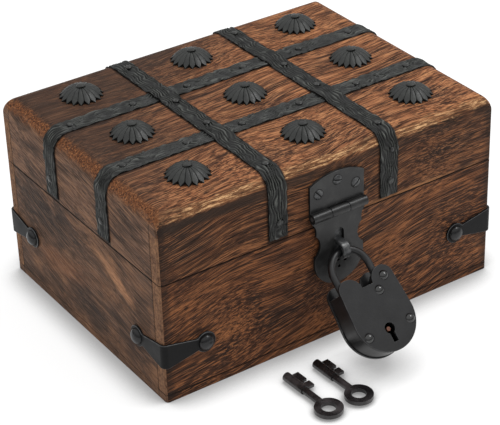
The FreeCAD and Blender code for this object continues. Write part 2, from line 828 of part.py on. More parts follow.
bolt = new_body("lock_bolt")
bolt_shape = box_corners(-bolt_tip, bolt_level - bolt_half_height, bolt_tail, bolt_level + bolt_half_height)
bolt_back = plate_thickness + bolt_rest_gap - lock_half_depth
pad(bolt, outline(new_sketch(bolt, "XZ_Plane", bolt_back), bolt_shape), rod_radius - bolt_back)
set_lock(bolt)
keep(bolt, "lock_bolt")

shackle = new_body("lock_shackle")
ring_sketch = circles(new_sketch(shackle, "YZ_Plane", zero, ring_rise), [(zero, lobe_spread, rod_radius)])
revolve(shackle, ring_sketch, "H_Axis", right_angle * 2)
eye_shape = [(lobe_spread, lobe_rise, eye_radius)]
pad(shackle, circles(new_sketch(shackle, "XZ_Plane"), eye_shape), eye_thickness, True)
leg_shape = [(lobe_spread, zero, rod_radius)]
pad(shackle, circles(new_sketch(shackle, "XY_Plane", lobe_rise), leg_shape), shackle_leg)
tail_shape = [(-lobe_spread, zero, rod_radius)]
pad(shackle, circles(new_sketch(shackle, "XY_Plane", tail_bottom), tail_shape), ring_rise - tail_bottom)
pivot_hole = [(lobe_spread, lobe_rise, pivot_radius + pin_clearance)]
pocket(shackle, circles(new_sketch(shackle, "XZ_Plane"), pivot_hole), rod_radius * 4)
notch_left = rod_radius - lobe_spread - notch_depth
notch_half = bolt_half_height + notch_play
notch = box_corners(notch_left, bolt_level - notch_half, notch_left + rod_radius * 2, bolt_level + notch_half)
pocket(shackle, outline(new_sketch(shackle, "XZ_Plane"), notch), rod_radius * 4)
set_lock(shackle)
keep(shackle, "lock_shackle")


# Keys: hollow barrel, flat notched bit and a ring bow in one piece, lying flat in front of the chest.
def key(label, x):
    body = new_body(label)
    pad(body, circles(new_sketch(body, "XZ_Plane"), [(zero, zero, barrel_radius)]), barrel_length)
    shank = circles(new_sketch(body, "XZ_Plane"), [(zero, zero, shank_radius)])
    pad(body, shank, key_length - (bow_radius + bow_hole) / 2)
    bow = circles(new_sketch(body, "XY_Plane", -bow_half_thickness), [(zero, -key_length, bow_radius)])
    pad(body, bow, bow_half_thickness * 2)
    bow_middle = (bow_radius + bow_hole) / 2
    neck_end = root(bow_middle * bow_middle - neck_half_width * neck_half_width) - key_length
    neck_start = neck_end + neck_length
    neck = [(-shank_radius * 0.7, neck_start, neck_curve, -1.0), (-neck_half_width, neck_end),
            (neck_half_width, neck_end, neck_curve, -1.0), (shank_radius * 0.7, neck_start)]
    pad(body, outline(new_sketch(body, "XY_Plane", -bow_half_thickness), neck), bow_half_thickness * 2)
    notch_in = bit_reach - bit_notch_depth
    notch_end = bit_notch_start + bit_notch_width
    bit = [(barrel_radius * 0.6, -bit_setback), (barrel_radius * 0.6, -bit_length), (bit_reach, -bit_length),
           (bit_reach, -notch_end), (notch_in, -notch_end), (notch_in, -bit_notch_start),
           (bit_reach, -bit_notch_start), (bit_reach, -bit_setback)]
    pad(body, outline(new_sketch(body, "XY_Plane", -bit_half_thickness), bit), bit_half_thickness * 2)
    hole = circles(new_sketch(body, "XY_Plane"), [(zero, -key_length, bow_hole)])
    pocket(body, hole, bow_half_thickness * 4)
    pocket(body, circles(new_sketch(body, "XZ_Plane"), [(zero, zero, barrel_bore)]), barrel_bore_depth * 2)
    turn(body, about(0, 0, 1, key_turn.value))
    place(body, x, -key_forward, barrel_radius)
    return keep(body, label)


key("key_1", -key_1_across)
key("key_2", -key_2_across)

doc.recompute()
for thing in doc.Objects:
    if "Invalid" in thing.State or "Error" in thing.State:
        raise RuntimeError("not solved: " + thing.Label)
os.makedirs("parts", exist_ok=True)
for piece in pieces:
    if piece.Shape.isNull() or not piece.Shape.isValid():
        raise RuntimeError("bad shape: " + piece.Label)
    piece.Shape.exportStep("parts/%s.step" % piece.Label)
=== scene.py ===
import math

import bmesh
import bpy
from mathutils import Matrix, Vector, noise


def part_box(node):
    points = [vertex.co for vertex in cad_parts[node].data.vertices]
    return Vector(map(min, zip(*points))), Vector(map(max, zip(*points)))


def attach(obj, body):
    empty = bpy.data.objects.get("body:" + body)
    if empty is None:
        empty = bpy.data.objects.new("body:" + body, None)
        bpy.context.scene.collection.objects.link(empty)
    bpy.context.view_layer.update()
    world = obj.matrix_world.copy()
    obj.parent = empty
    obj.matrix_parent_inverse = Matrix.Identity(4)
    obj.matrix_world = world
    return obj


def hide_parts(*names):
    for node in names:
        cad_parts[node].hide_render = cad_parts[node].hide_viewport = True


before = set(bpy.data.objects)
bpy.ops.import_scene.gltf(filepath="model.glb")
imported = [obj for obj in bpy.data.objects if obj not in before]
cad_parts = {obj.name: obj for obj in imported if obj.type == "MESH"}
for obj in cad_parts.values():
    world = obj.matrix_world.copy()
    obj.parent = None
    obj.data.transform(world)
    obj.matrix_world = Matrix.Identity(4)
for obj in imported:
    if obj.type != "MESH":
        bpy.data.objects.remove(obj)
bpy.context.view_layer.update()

# The box of the chest: a base board, a front and a back board over its full width, and two side
# boards let in between them, sawn from hardwood, scorched, stained dark and rubbed back.
# The boards are glued at butted corners, so each long board shows its end grain on the chest's sides.
board_ease = 0.0004
board_corner = 0.0020
seam_level = 0.0681
base_level = 0.0045
end_joint = 0.0690
outside_from = 0.075
scorch_reach = (0.0965, 0.1015)
sway_reach = 0.055
long_board_colours = [(42, 27, 20), (90, 56, 37), (112, 70, 45), (162, 104, 64)]
side_board_colours = [(66, 50, 41), (98, 74, 59), (119, 87, 66), (156, 112, 80)]
end_grain_colours = [(80, 57, 43), (118, 87, 67), (136, 101, 76), (164, 122, 90)]


def paint(red, green, blue):
    """A colour as a colour card gives it, from 0 to 255, for a shader."""
    shares = [channel / 255 for channel in (red, green, blue)]
    linear = [share / 12.92 if share <= 0.04045 else ((share + 0.055) / 1.055) ** 2.4 for share in shares]
    return linear + [1.0]


def new_finish(name):
    """A bare surface, with the nodes that the rest of its look is joined to."""
    material = bpy.data.materials.new(name)
    material.use_nodes = True
    return material, material.node_tree, material.node_tree.nodes["Principled BSDF"]


def swaying(tree, reach, amount):
    """The piece's own coordinates bent gently to and fro, so that grain along them flows in curves."""
    place = tree.nodes.new("ShaderNodeTexCoord")
    cloud = tree.nodes.new("ShaderNodeTexNoise")
    cloud.inputs["Scale"].default_value = 1 / reach
    cloud.inputs["Detail"].default_value = 0.0
    bent = tree.nodes.new("ShaderNodeVectorMath")
    bent.operation = "MULTIPLY_ADD"
    bent.inputs[1].default_value = (amount, amount, amount)
    tree.links.new(place.outputs["Object"], cloud.inputs["Vector"])
    tree.links.new(cloud.outputs["Color"], bent.inputs[0])
    tree.links.new(place.outputs["Object"], bent.inputs[2])
    return bent.outputs["Vector"]


def patches(tree, size, turn=(0, 0, 0), start=(0, 0, 0), detail=3.0, rough=0.55, bend=0.0, along=None):
    """Irregular patches of the given size in metres, laid along a turned direction."""
    place = along or tree.nodes.new("ShaderNodeTexCoord").outputs["Object"]
    lay = tree.nodes.new("ShaderNodeMapping")
    lay.vector_type = "TEXTURE"
    lay.inputs["Location"].default_value = start
    lay.inputs["Rotation"].default_value = [math.radians(angle) for angle in turn]
    lay.inputs["Scale"].default_value = size
    cloud = tree.nodes.new("ShaderNodeTexNoise")
    cloud.inputs["Scale"].default_value = 1.0
    cloud.inputs["Detail"].default_value = detail
    cloud.inputs["Roughness"].default_value = rough
    cloud.inputs["Distortion"].default_value = bend
    tree.links.new(place, lay.inputs["Vector"])
    tree.links.new(lay.outputs["Vector"], cloud.inputs["Vector"])
    return cloud.outputs["Fac"]


def specks(tree, size, start=(0, 0, 0), detail=3.0, rough=0.55):
    """Irregular specks of one size in metres, laid no particular way."""
    return patches(tree, (size, size, size), (0, 0, 0), start, detail, rough)


def graded(tree, factor, stops):
    """Colours that follow a factor, from (place, colour) stops."""
    scale = tree.nodes.new("ShaderNodeValToRGB")
    while len(scale.color_ramp.elements) < len(stops):
        scale.color_ramp.elements.new(0.5)
    for element, (place, shade) in zip(scale.color_ramp.elements, stops):
        element.position = place
        element.color = shade
    tree.links.new(factor, scale.inputs["Fac"])
    return scale.outputs["Color"]


def feed(tree, socket, value):
    """A socket joined to another node's output, or set to a plain value."""
    if isinstance(value, bpy.types.NodeSocket):
        tree.links.new(value, socket)
    else:
        socket.default_value = value


def laid_over(tree, factor, under, over):
    """One colour laid over another, as far as the factor says."""
    mix = tree.nodes.new("ShaderNodeMix")
    mix.data_type = "RGBA"
    feed(tree, mix.inputs["Factor"], factor)
    feed(tree, mix.inputs["A"], under)
    feed(tree, mix.inputs["B"], over)
    return mix.outputs["Result"]


def between(tree, value, low, high, to_low=0.0, to_high=1.0):
    """A factor that rises smoothly while a value goes from low to high."""
    span = tree.nodes.new("ShaderNodeMapRange")
    span.interpolation_type = "SMOOTHSTEP"
    for name, number in (("From Min", low), ("From Max", high), ("To Min", to_low), ("To Max", to_high)):
        span.inputs[name].default_value = number
    tree.links.new(value, span.inputs["Value"])
    return span.outputs["Result"]


def both(tree, one, other, way="MULTIPLY"):
    """Two factors worked together."""
    step = tree.nodes.new("ShaderNodeMath")
    step.operation = way
    feed(tree, step.inputs[0], one)
    feed(tree, step.inputs[1], other)
    return step.outputs["Value"]


def position(tree, axis):
    """Where on the object a point is, along one axis, in metres."""
    place = tree.nodes.new("ShaderNodeTexCoord")
    split = tree.nodes.new("ShaderNodeSeparateXYZ")
    tree.links.new(place.outputs["Object"], split.inputs["Vector"])
    return split.outputs[axis]


def from_middle(tree, axis):
    """How far a point is from the middle of the chest, along one axis, in metres."""
    return both(tree, position(tree, axis), 0.0, "ABSOLUTE")


def apart(tree, value, level):
    """How far a value is from a level, either way."""
    return both(tree, both(tree, value, level, "SUBTRACT"), 0.0, "ABSOLUTE")


def relief(tree, surface, height, depth):
    """Fine relief too small to model, pressed into the surface."""
    bump = tree.nodes.new("ShaderNodeBump")
    bump.inputs["Strength"].default_value = 1.0
    bump.inputs["Distance"].default_value = depth
    tree.links.new(height, bump.inputs["Height"])
    tree.links.new(bump.outputs["Normal"], surface.inputs["Normal"])


def dark_line(tree, wood, place, level, depth):
    """A thin dark joint line drawn where a place is near a level."""
    joint = between(tree, apart(tree, place, level), 0.0008, 0.0003, 0.0, depth)
    return laid_over(tree, joint, wood, paint(22, 15, 11))


def soft_mark(tree, wood, at, reach, tilt, depth, shade):
    """One soft mark on a board: dark where the flame lingered, pale where the wood was rubbed back."""
    place = tree.nodes.new("ShaderNodeTexCoord")
    lay = tree.nodes.new("ShaderNodeMapping")
    lay.vector_type = "TEXTURE"
    lay.inputs["Location"].default_value = at
    lay.inputs["Rotation"].default_value = [math.radians(angle) for angle in tilt]
    lay.inputs["Scale"].default_value = reach
    away = tree.nodes.new("ShaderNodeVectorMath")
    away.operation = "LENGTH"
    tree.links.new(place.outputs["Object"], lay.inputs["Vector"])
    tree.links.new(lay.outputs["Vector"], away.inputs[0])
    ragged = patches(tree, (0.018, 0.018, 0.006), tilt, at, 5.0, 0.68, 0.4)
    edge = both(tree, away.outputs["Value"], both(tree, ragged, 1.8), "ADD")
    return laid_over(tree, between(tree, edge, 1.95, 1.05, 0.0, depth), wood, shade)


def stained_wood(name, colours, turn, start, figure=(0.070, 0.0100), smoke=(0.034, 0.013),
                 burn=0.5, lines=1.0, sway=0.014, marks=()):
    """Scorched and stained hardwood: figure, smoke and marks, then fibres, veins and pores, all laid
    along the turned direction."""
    material, tree, surface = new_finish(name)
    dark, middle, warm, light = [paint(*c) for c in colours]
    along = swaying(tree, sway_reach, sway)
    flow = patches(tree, (figure[0], figure[1], figure[1]), turn, start, 5.0, 0.58, 0.7, along)
    wood = graded(tree, flow, [(0.31, dark), (0.45, middle), (0.56, warm), (0.74, light)])
    haze = patches(tree, (smoke[0], smoke[1], smoke[1]), turn, start[::-1], 5.0, 0.62, 1.0, along)
    wood = laid_over(tree, both(tree, between(tree, haze, 0.47, 0.62), burn), wood, paint(52, 40, 34))
    for at, reach, tilt, depth, shade in marks:
        wood = soft_mark(tree, wood, at, reach, tilt, depth, paint(*shade))
    fibre = patches(tree, (0.026, 0.0007, 0.0007), turn, start, 2.0, 0.7, 0.1, along)
    wood = laid_over(tree, between(tree, fibre, 0.49, 0.39, 0.0, 0.8 * lines), wood, dark)
    wood = laid_over(tree, between(tree, fibre, 0.52, 0.62, 0.0, 0.7 * lines), wood, light)
    veins = patches(tree, (0.044, 0.0022, 0.0022), turn, start[::-1], 5.0, 0.72, 0.4, along)
    wood = laid_over(tree, between(tree, veins, 0.58, 0.64, 0.0, 0.45 * lines), wood, paint(36, 24, 18))
    pore = patches(tree, (0.0090, 0.0006, 0.0006), turn, start[::-1], 1.0, 0.6, 0.0, along)
    wood = laid_over(tree, between(tree, pore, 0.57, 0.64, 0.0, 0.75 * lines), wood, paint(28, 17, 12))
    wood = dark_line(tree, wood, position(tree, "Z"), seam_level, 0.85)
    tree.links.new(wood, surface.inputs["Base Color"])
    tree.links.new(between(tree, fibre, 0.3, 0.7, 0.70, 0.52), surface.inputs["Roughness"])
    surface.inputs["Specular IOR Level"].default_value = 0.14
    relief(tree, surface, both(tree, fibre, both(tree, pore, -0.8), "ADD"), 0.0006)
    return material, tree, surface, wood


def end_grain(name, colours, speck):
    """The sawn end of a board: short fibres seen head on, rough and thirsty for stain."""
    material, tree, surface = new_finish(name)
    dark, middle, warm, light = [paint(*c) for c in colours]
    blot = (speck * 2.6, speck * 2.6, speck * 5.0)
    blots = patches(tree, blot, (0, 0, 0), (0.3, 0.1, 0.7), 4.0, 0.7, 0.4)
    dots = specks(tree, speck, (0.9, 0.4, 0.2), 2.0, 0.6)
    wood = graded(tree, both(tree, both(tree, blots, 0.55), both(tree, dots, 0.45), "ADD"),
                  [(0.36, dark), (0.46, middle), (0.55, warm), (0.64, light)])
    tree.links.new(wood, surface.inputs["Base Color"])
    surface.inputs["Roughness"].default_value = 0.72
    surface.inputs["Specular IOR Level"].default_value = 0.12
    relief(tree, surface, dots, 0.0008)
    return material


def set_piece(shape, name, body, finishes, nodes=(), crease=35):
    """A finished mesh put on its body as a piece, standing for the nodes it replaces."""
    mesh = bpy.data.meshes.new(name)
    shape.to_mesh(mesh)
    shape.free()
    mesh.polygons.foreach_set("use_smooth", [True] * len(mesh.polygons))
    mesh.set_sharp_from_angle(angle=math.radians(crease))
    piece = bpy.data.objects.new(name, mesh)
    bpy.context.scene.collection.objects.link(piece)
    for finish in finishes:
        mesh.materials.append(finish)
    flats = piece.modifiers.new("flat faces shaded flat", "WEIGHTED_NORMAL")
    flats.keep_sharp = True
    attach(piece, body)
    if nodes:
        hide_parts(*nodes)
    return piece


def board(node, end_axis, rounded, flush_top=False):
    """A planed board as large as its node, its outer corners rounded and its other edges eased."""
    low, high = [Vector(corner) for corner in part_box(node)]
    shape = bmesh.new()
    bmesh.ops.create_cube(shape, size=1.0)
    fit = Matrix.LocRotScale((low + high) / 2, None, high - low)
    bmesh.ops.transform(shape, verts=shape.verts, matrix=fit)
    corners = []
    for edge in shape.edges:
        run = (edge.verts[0].co - edge.verts[1].co).normalized()
        if abs(run.z) > 0.9 and rounded(edge.verts[0].co):
            corners.append(edge)
    if corners:
        bmesh.ops.bevel(shape, geom=corners, offset=board_corner, affect="EDGES", segments=5,
                        profile=0.5, material=-1)
    sharp = [edge for edge in shape.edges if edge.calc_face_angle() > math.radians(60)]
    if flush_top:
        sharp = [edge for edge in sharp if min(vert.co.z for vert in edge.verts) < high.z - 1e-5]
    bmesh.ops.bevel(shape, geom=sharp, offset=board_ease, affect="EDGES", segments=2,
                    profile=0.5, material=-1)
    shape.normal_update()
    for face in shape.faces:
        if abs(face.normal[end_axis]) > 0.6:
            face.material_index = 1
    return shape


def scorched_ends(tree, surface, wood):
    """The darker strip down each end of a long board, where the flame lingered on the corner."""
    ragged = patches(tree, (0.004, 0.004, 0.02), (0, 0, 0), (0.2, 0.5, 0.1), 3.0, 0.6)
    reach = both(tree, from_middle(tree, "X"), both(tree, ragged, 0.004), "ADD")
    scorch = between(tree, reach, *scorch_reach, 0.0, 0.62)
    tree.links.new(laid_over(tree, scorch, wood, paint(36, 26, 21)), surface.inputs["Base Color"])


front_marks = [((-0.024, 0, 0.034), (0.046, 1.0, 0.008), (0, -13, 0), 0.6, (50, 36, 29)),
               ((0.012, 0, 0.050), (0.034, 1.0, 0.006), (0, -14, 0), 0.55, (50, 36, 29)),
               ((0.072, 0, 0.046), (0.044, 1.0, 0.012), (0, -12, 0), 0.6, (54, 38, 30)),
               ((-0.078, 0, 0.028), (0.022, 1.0, 0.012), (0, -8, 0), 0.35, (112, 72, 46))]
front_wood, tree, surface, wood = stained_wood("stained wood of the box front", long_board_colours,
                                               (0, -10, 0), (0.11, 0.23, 0.31), marks=front_marks)
scorched_ends(tree, surface, dark_line(tree, wood, position(tree, "Z"), base_level, 0.75))

side_marks = [((0, 0.022, 0.030), (1.0, 0.034, 0.011), (-8, 0, 0), 0.6, (152, 102, 70)),
              ((0, 0.036, 0.054), (1.0, 0.048, 0.021), (4, 0, 0), 0.95, (52, 42, 37)),
              ((0, -0.006, 0.018), (1.0, 0.034, 0.015), (6, 0, 0), 0.95, (54, 43, 38)),
              ((0, -0.050, 0.016), (1.0, 0.018, 0.012), (0, 0, 0), 0.85, (52, 41, 36)),
              ((0, -0.034, 0.050), (1.0, 0.024, 0.0055), (23, 0, 0), 0.95, (184, 134, 98))]
side_wood, tree, surface, wood = stained_wood("stained wood of the box sides", side_board_colours,
                                              (0, 12, -90), (0.37, 0.19, 0.05),
                                              figure=(0.040, 0.0180), smoke=(0.040, 0.024),
                                              burn=0.7, lines=0.55, sway=0.010, marks=side_marks)
wood = dark_line(tree, wood, from_middle(tree, "Y"), end_joint, 0.5)
tree.links.new(wood, surface.inputs["Base Color"])
sawn_end = end_grain("sawn board ends", end_grain_colours, 0.0012)

shape = board("box_base", 0, lambda at: True)
set_piece(shape, "base_board", "box", [front_wood, side_wood], ["box_base"])
for side in ("front", "back"):
    outward = -1 if side == "front" else 1
    shape = board("box_" + side, 0, lambda at: at.y * outward > outside_from)
    set_piece(shape, side + "_board", "box", [front_wood, sawn_end], ["box_" + side])
for side in ("left", "right"):
    shape = board("box_" + side, 1, lambda at: False)
    set_piece(shape, side + "_board", "box", [side_wood, sawn_end], ["box_" + side])

# The lid: four rails butted like the box's boards under one thick top board of the same hardwood.
# The top's upper edges are rounded over by plane and rasp and then rubbed back to pale wood,
# which leaves streaks along its front and back edge and rough orange end grain at its two ends.
top_colours = [(52, 32, 23), (126, 79, 51), (154, 98, 64), (198, 138, 93)]
lid_rail_colours = [(40, 27, 20), (86, 54, 36), (107, 68, 45), (158, 105, 67)]
lid_side_colours = [(68, 50, 40), (104, 78, 62), (124, 92, 72), (160, 117, 85)]
top_level = 0.1058
top_rounding = 0.009
top_underside = 0.0948
half_width = 0.1016
half_depth = 0.0762
outer_skin = 0.003
skin_fade = 0.001
rub_starts = (0.1024, 0.1036)
rub_ends = (0.1074, 0.1062)
rub_reach = (0.0680, 0.0700)
rasp_reach = (0.2024, 0.2042)
smoke_starts = (0.0985, 0.1030)
smoke_ends = (0.1008, 0.0990)
low_edge_level = (0.0702, 0.0692)
low_edge_run = (-0.02, 0.06)
long_band_place = 0.03387
cross_band_place = 0.0254


def lid_outside(tree):
    """One on the outside of the lid, nought on its inside."""
    wide = between(tree, from_middle(tree, "X"), half_width - outer_skin, half_width - skin_fade)
    deep = between(tree, from_middle(tree, "Y"), half_depth - outer_skin, half_depth - skin_fade)
    above = top_underside + skin_fade / 2
    high = between(tree, position(tree, "Z"), above, above + skin_fade)
    return both(tree, both(tree, wide, deep, "MAXIMUM"), high, "MAXIMUM")


def shade_along_bands(tree, wood, axis, place):
    """Painted shade in the wood along both edges of the two bands that lie off the middle, standing for
    the shadow where the bands stand off the wood.
    """
    off_band = apart(tree, from_middle(tree, axis), place)
    ragged = both(tree, off_band, both(tree, specks(tree, 0.006), 0.0008), "ADD")
    painted_band_shade = both(tree, between(tree, ragged, 0.0072, 0.0060, 0.0, 0.7), lid_outside(tree))
    return laid_over(tree, painted_band_shade, wood, paint(24, 16, 12))


def rasped_crest(tree, wood):
    """Rough orange end grain on the rounded ends of the top board, fading out past the rounding."""
    ragged = patches(tree, (0.004, 0.006, 0.004), (0, 0, 0), (0.3, 0.8, 0.5), 4.0, 0.65)
    crest = both(tree, from_middle(tree, "X"), position(tree, "Z"), "ADD")
    crest = both(tree, crest, both(tree, ragged, 0.004), "ADD")
    dots = specks(tree, 0.0010, (0.9, 0.4, 0.2), 3.0, 0.65)
    rasped = graded(tree, dots, [(0.36, paint(52, 30, 20)), (0.46, paint(102, 61, 37)),
                                 (0.56, paint(136, 85, 51)), (0.68, paint(178, 122, 78))])
    return laid_over(tree, between(tree, crest, *rasp_reach, 0.0, 0.9), wood, rasped)


def rubbed_crest(tree, wood):
    """Pale streaks where the front and back edges of the top were rubbed back, broken by dark chips."""
    streaks = patches(tree, (0.0075, 0.0009, 0.0009), (0, 0, 0), (0.4, 0.2, 0.6), 4.0, 0.75, 0.3)
    breaks = patches(tree, (0.016, 0.007, 0.007), (0, 0, 0), (0.8, 0.3, 0.5), 5.0, 0.65)
    level = both(tree, position(tree, "Z"), both(tree, breaks, 0.005), "ADD")
    strip = both(tree, between(tree, level, *rub_starts), between(tree, level, *rub_ends))
    strip = both(tree, strip, between(tree, from_middle(tree, "Y"), *rub_reach))
    strip = both(tree, strip, between(tree, breaks, 0.40, 0.56, 0.2, 1.0))
    pale = both(tree, strip, between(tree, streaks, 0.50, 0.60, 0.0, 0.95))
    chipped = both(tree, strip, between(tree, streaks, 0.46, 0.38, 0.0, 0.85))
    wood = laid_over(tree, both(tree, strip, 0.55), wood, paint(150, 104, 68))
    wood = laid_over(tree, pale, wood, paint(226, 178, 128))
    return laid_over(tree, chipped, wood, paint(64, 43, 31))


rail_marks = [((-0.088, 0, 0.088), (0.028, 1.0, 0.012), (0, 0, 0), 0.8, (48, 38, 33)),
              ((0.020, 0, 0.078), (0.030, 1.0, 0.006), (0, -6, 0), 0.5, (60, 42, 32)),
              ((0.080, 0, 0.084), (0.030, 1.0, 0.007), (0, -8, 0), 0.5, (58, 41, 32))]
rail_wood, tree, surface, wood = stained_wood("stained wood of the lid front", lid_rail_colours,
                                              (0, -6, 0), (0.53, 0.07, 0.41), marks=rail_marks)
# The lid front carries painted shade beside the bands.
wood = shade_along_bands(tree, rubbed_crest(tree, wood), "X", long_band_place)
under = patches(tree, (0.028, 0.010, 0.006), (0, 0, 0), (0.6, 0.4, 0.7), 5.0, 0.62, 0.5)
low_smoke = both(tree, position(tree, "Z"), both(tree, under, 0.012), "ADD")
below_crest = between(tree, position(tree, "Z"), *smoke_ends)
below_crest = both(tree, between(tree, low_smoke, *smoke_starts), below_crest)
to_left = between(tree, position(tree, "X"), 0.10, -0.09, 0.35, 0.95)
wood = laid_over(tree, both(tree, below_crest, to_left), wood, paint(50, 38, 31))
low_edge = between(tree, position(tree, "X"), *low_edge_run)
low_edge = both(tree, between(tree, position(tree, "Z"), *low_edge_level), low_edge)
low_edge = both(tree, low_edge, between(tree, under, 0.42, 0.54, 0.0, 0.8))
wood = laid_over(tree, low_edge, wood, paint(166, 116, 76))
scorched_ends(tree, surface, wood)

lid_side_wood, tree, surface, wood = stained_wood("stained wood of the lid sides", lid_side_colours,
                                                  (0, 9, -90), (0.17, 0.61, 0.43),
                                                  figure=(0.040, 0.0110), smoke=(0.036, 0.014),
                                                  burn=0.65, lines=0.65, sway=0.010)
wood = dark_line(tree, wood, from_middle(tree, "Y"), end_joint, 0.5)
# The lid sides carry painted shade beside the bands.
wood = shade_along_bands(tree, rasped_crest(tree, wood), "Y", cross_band_place)
tree.links.new(wood, surface.inputs["Base Color"])

top_wood, tree, surface, wood = stained_wood("stained wood of the lid top", top_colours,
                                             (0, 0, 2), (0.29, 0.83, 0.11), figure=(0.026, 0.0034))
smoke = patches(tree, (0.09, 0.05, 0.05), (0, 0, 0), (0.2, 0.6, 0.9), 4.0, 0.6, 0.5)
across_top = both(tree, position(tree, "X"), position(tree, "Y"), "SUBTRACT")
across_top = both(tree, across_top, both(tree, smoke, 0.14), "ADD")
wood = laid_over(tree, between(tree, across_top, 0.10, -0.04, 0.0, 0.82), wood, paint(56, 43, 36))
wood = rasped_crest(tree, rubbed_crest(tree, wood))
# The top board carries painted shade beside the bands.
wood = shade_along_bands(tree, wood, "X", long_band_place)
wood = shade_along_bands(tree, wood, "Y", cross_band_place)
tree.links.new(wood, surface.inputs["Base Color"])

for side in ("front", "back"):
    outward = -1 if side == "front" else 1
    shape = board("lid_" + side, 0, lambda at: at.y * outward > outside_from, True)
    set_piece(shape, side + "_rail", "lid", [rail_wood, sawn_end], ["lid_" + side])
for side in ("left", "right"):
    shape = board("lid_" + side, 1, lambda at: False, True)
    set_piece(shape, side + "_rail", "lid", [lid_side_wood, sawn_end], ["lid_" + side])


def merged_copy(node):
    """A node's own shape with its loose triangles joined again into whole faces."""
    shape = bmesh.new()
    shape.from_mesh(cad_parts[node].data)
    bmesh.ops.remove_doubles(shape, verts=shape.verts, dist=1e-6)
    bmesh.ops.dissolve_limit(shape, angle_limit=math.radians(0.4), verts=shape.verts, edges=shape.edges)
    return shape


shape = merged_copy("lid_top")
shape.normal_update()
for face in shape.faces:
    if abs(face.normal.y) > 0.71:
        face.material_index = 1
    elif abs(face.normal.x) > 0.71:
        face.material_index = 2
set_piece(shape, "top_board", "lid", [top_wood, rail_wood, lid_side_wood], ["lid_top"])

# Four straps of flat iron bar bent over the lid, two from front to back laid over two from end to end.
# Flowing ridges like wood grain are rolled into each bar, and it is blackened and then rubbed,
# so the ridges shine a little and the hollows between them stay dark.
band_width = 0.0108
band_thickness = 0.0010
band_end_level = 0.0702
ridge_depth = 0.0008
ridge_pitch = 0.0016
row_step = 0.0005
rows_across = 36
step_length = 0.003
ridge_drifts = [(0.0080, 0.0060, 0, 1.5), (0.0047, 0.0034, 7, 0.7)]
ridge_swell = (0.005, 0.004, 13, 0.6)
shear_waver = 0.0004
shear_reach = 0.006
edge_sink = 0.0002


def ridge_height(tree):
    """How high the iron stands at a point, as its mesh says: 0 in a hollow and 1 on a ridge."""
    height = tree.nodes.new("ShaderNodeAttribute")
    height.attribute_name = "ridge"
    return height.outputs["Fac"]


band_iron, tree, surface = new_finish("rolled black iron")
rubbed = specks(tree, 0.006, (0.2, 0.8, 0.4), 3.0, 0.6)
iron = graded(tree, ridge_height(tree), [(0.0, paint(7, 7, 7)), (0.40, paint(20, 21, 20)),
                                         (0.75, paint(40, 42, 39)), (1.0, paint(78, 80, 76))])
iron = laid_over(tree, between(tree, rubbed, 0.50, 0.85, 0.0, 0.35), iron, paint(58, 59, 57))
tree.links.new(iron, surface.inputs["Base Color"])
tree.links.new(between(tree, rubbed, 0.3, 0.7, 0.42, 0.56), surface.inputs["Roughness"])
surface.inputs["Specular IOR Level"].default_value = 0.36
grit = specks(tree, 0.0006, (0.5, 0.5, 0.5), 2.0, 0.6)
relief(tree, surface, grit, 0.0001)

# Painted shade: a near-black finish for the skirts under the edges of the bands and the stud tips and for
# the side edges of the hasp, standing for the shadow along them.
edge_shade_iron, tree, surface = new_finish("painted shade on iron edges")
edge_speckle = specks(tree, 0.002, (0.3, 0.9, 0.1), 3.0, 0.6)
iron = graded(tree, edge_speckle, [(0.3, paint(9, 9, 9)), (0.7, paint(24, 24, 23))])
tree.links.new(iron, surface.inputs["Base Color"])
surface.inputs["Roughness"].default_value = 0.7
surface.inputs["Specular IOR Level"].default_value = 0.2


def over_lid(run, half_span, crossings):
    """Where a bar bent over the lid along Y lies at a length from its middle, which way it faces there,
    and how far a bar that it crosses lifts it."""
    flat = half_span - top_rounding
    bend = top_rounding + band_thickness
    past = max(abs(run) - flat, 0.0)
    angle = min(past / bend, math.pi / 2)
    drop = max(past - bend * math.pi / 2, 0.0)
    side = math.copysign(1, run)
    facing = Vector((0, side * math.sin(angle), math.cos(angle)))
    place = Vector((0, side * min(abs(run), flat), top_level - top_rounding - drop)) + facing * bend
    reach = band_width / 2 + step_length
    ramps = [(reach - abs(run - crossing)) / step_length for crossing in crossings]
    return place, facing, band_thickness * max([0.0] + [min(1.0, ramp) for ramp in ramps])


def skirted(shape, edges):
    """Edges drawn out to a skirt of the second finish, whose far vertices are given back."""
    skirt = bmesh.ops.extrude_edge_only(shape, edges=edges)["geom"]
    for item in skirt:
        if isinstance(item, bmesh.types.BMFace):
            item.material_index = 1
    return [item for item in skirt if isinstance(item, bmesh.types.BMVert)]


def wander(run, across, seed, lay):
    """A value that wanders over a bar, for a reach along it, a reach across it, a start and an amount."""
    along, wide, start, amount = lay
    return noise.noise(Vector((run / along, across / wide, seed + start))) * amount


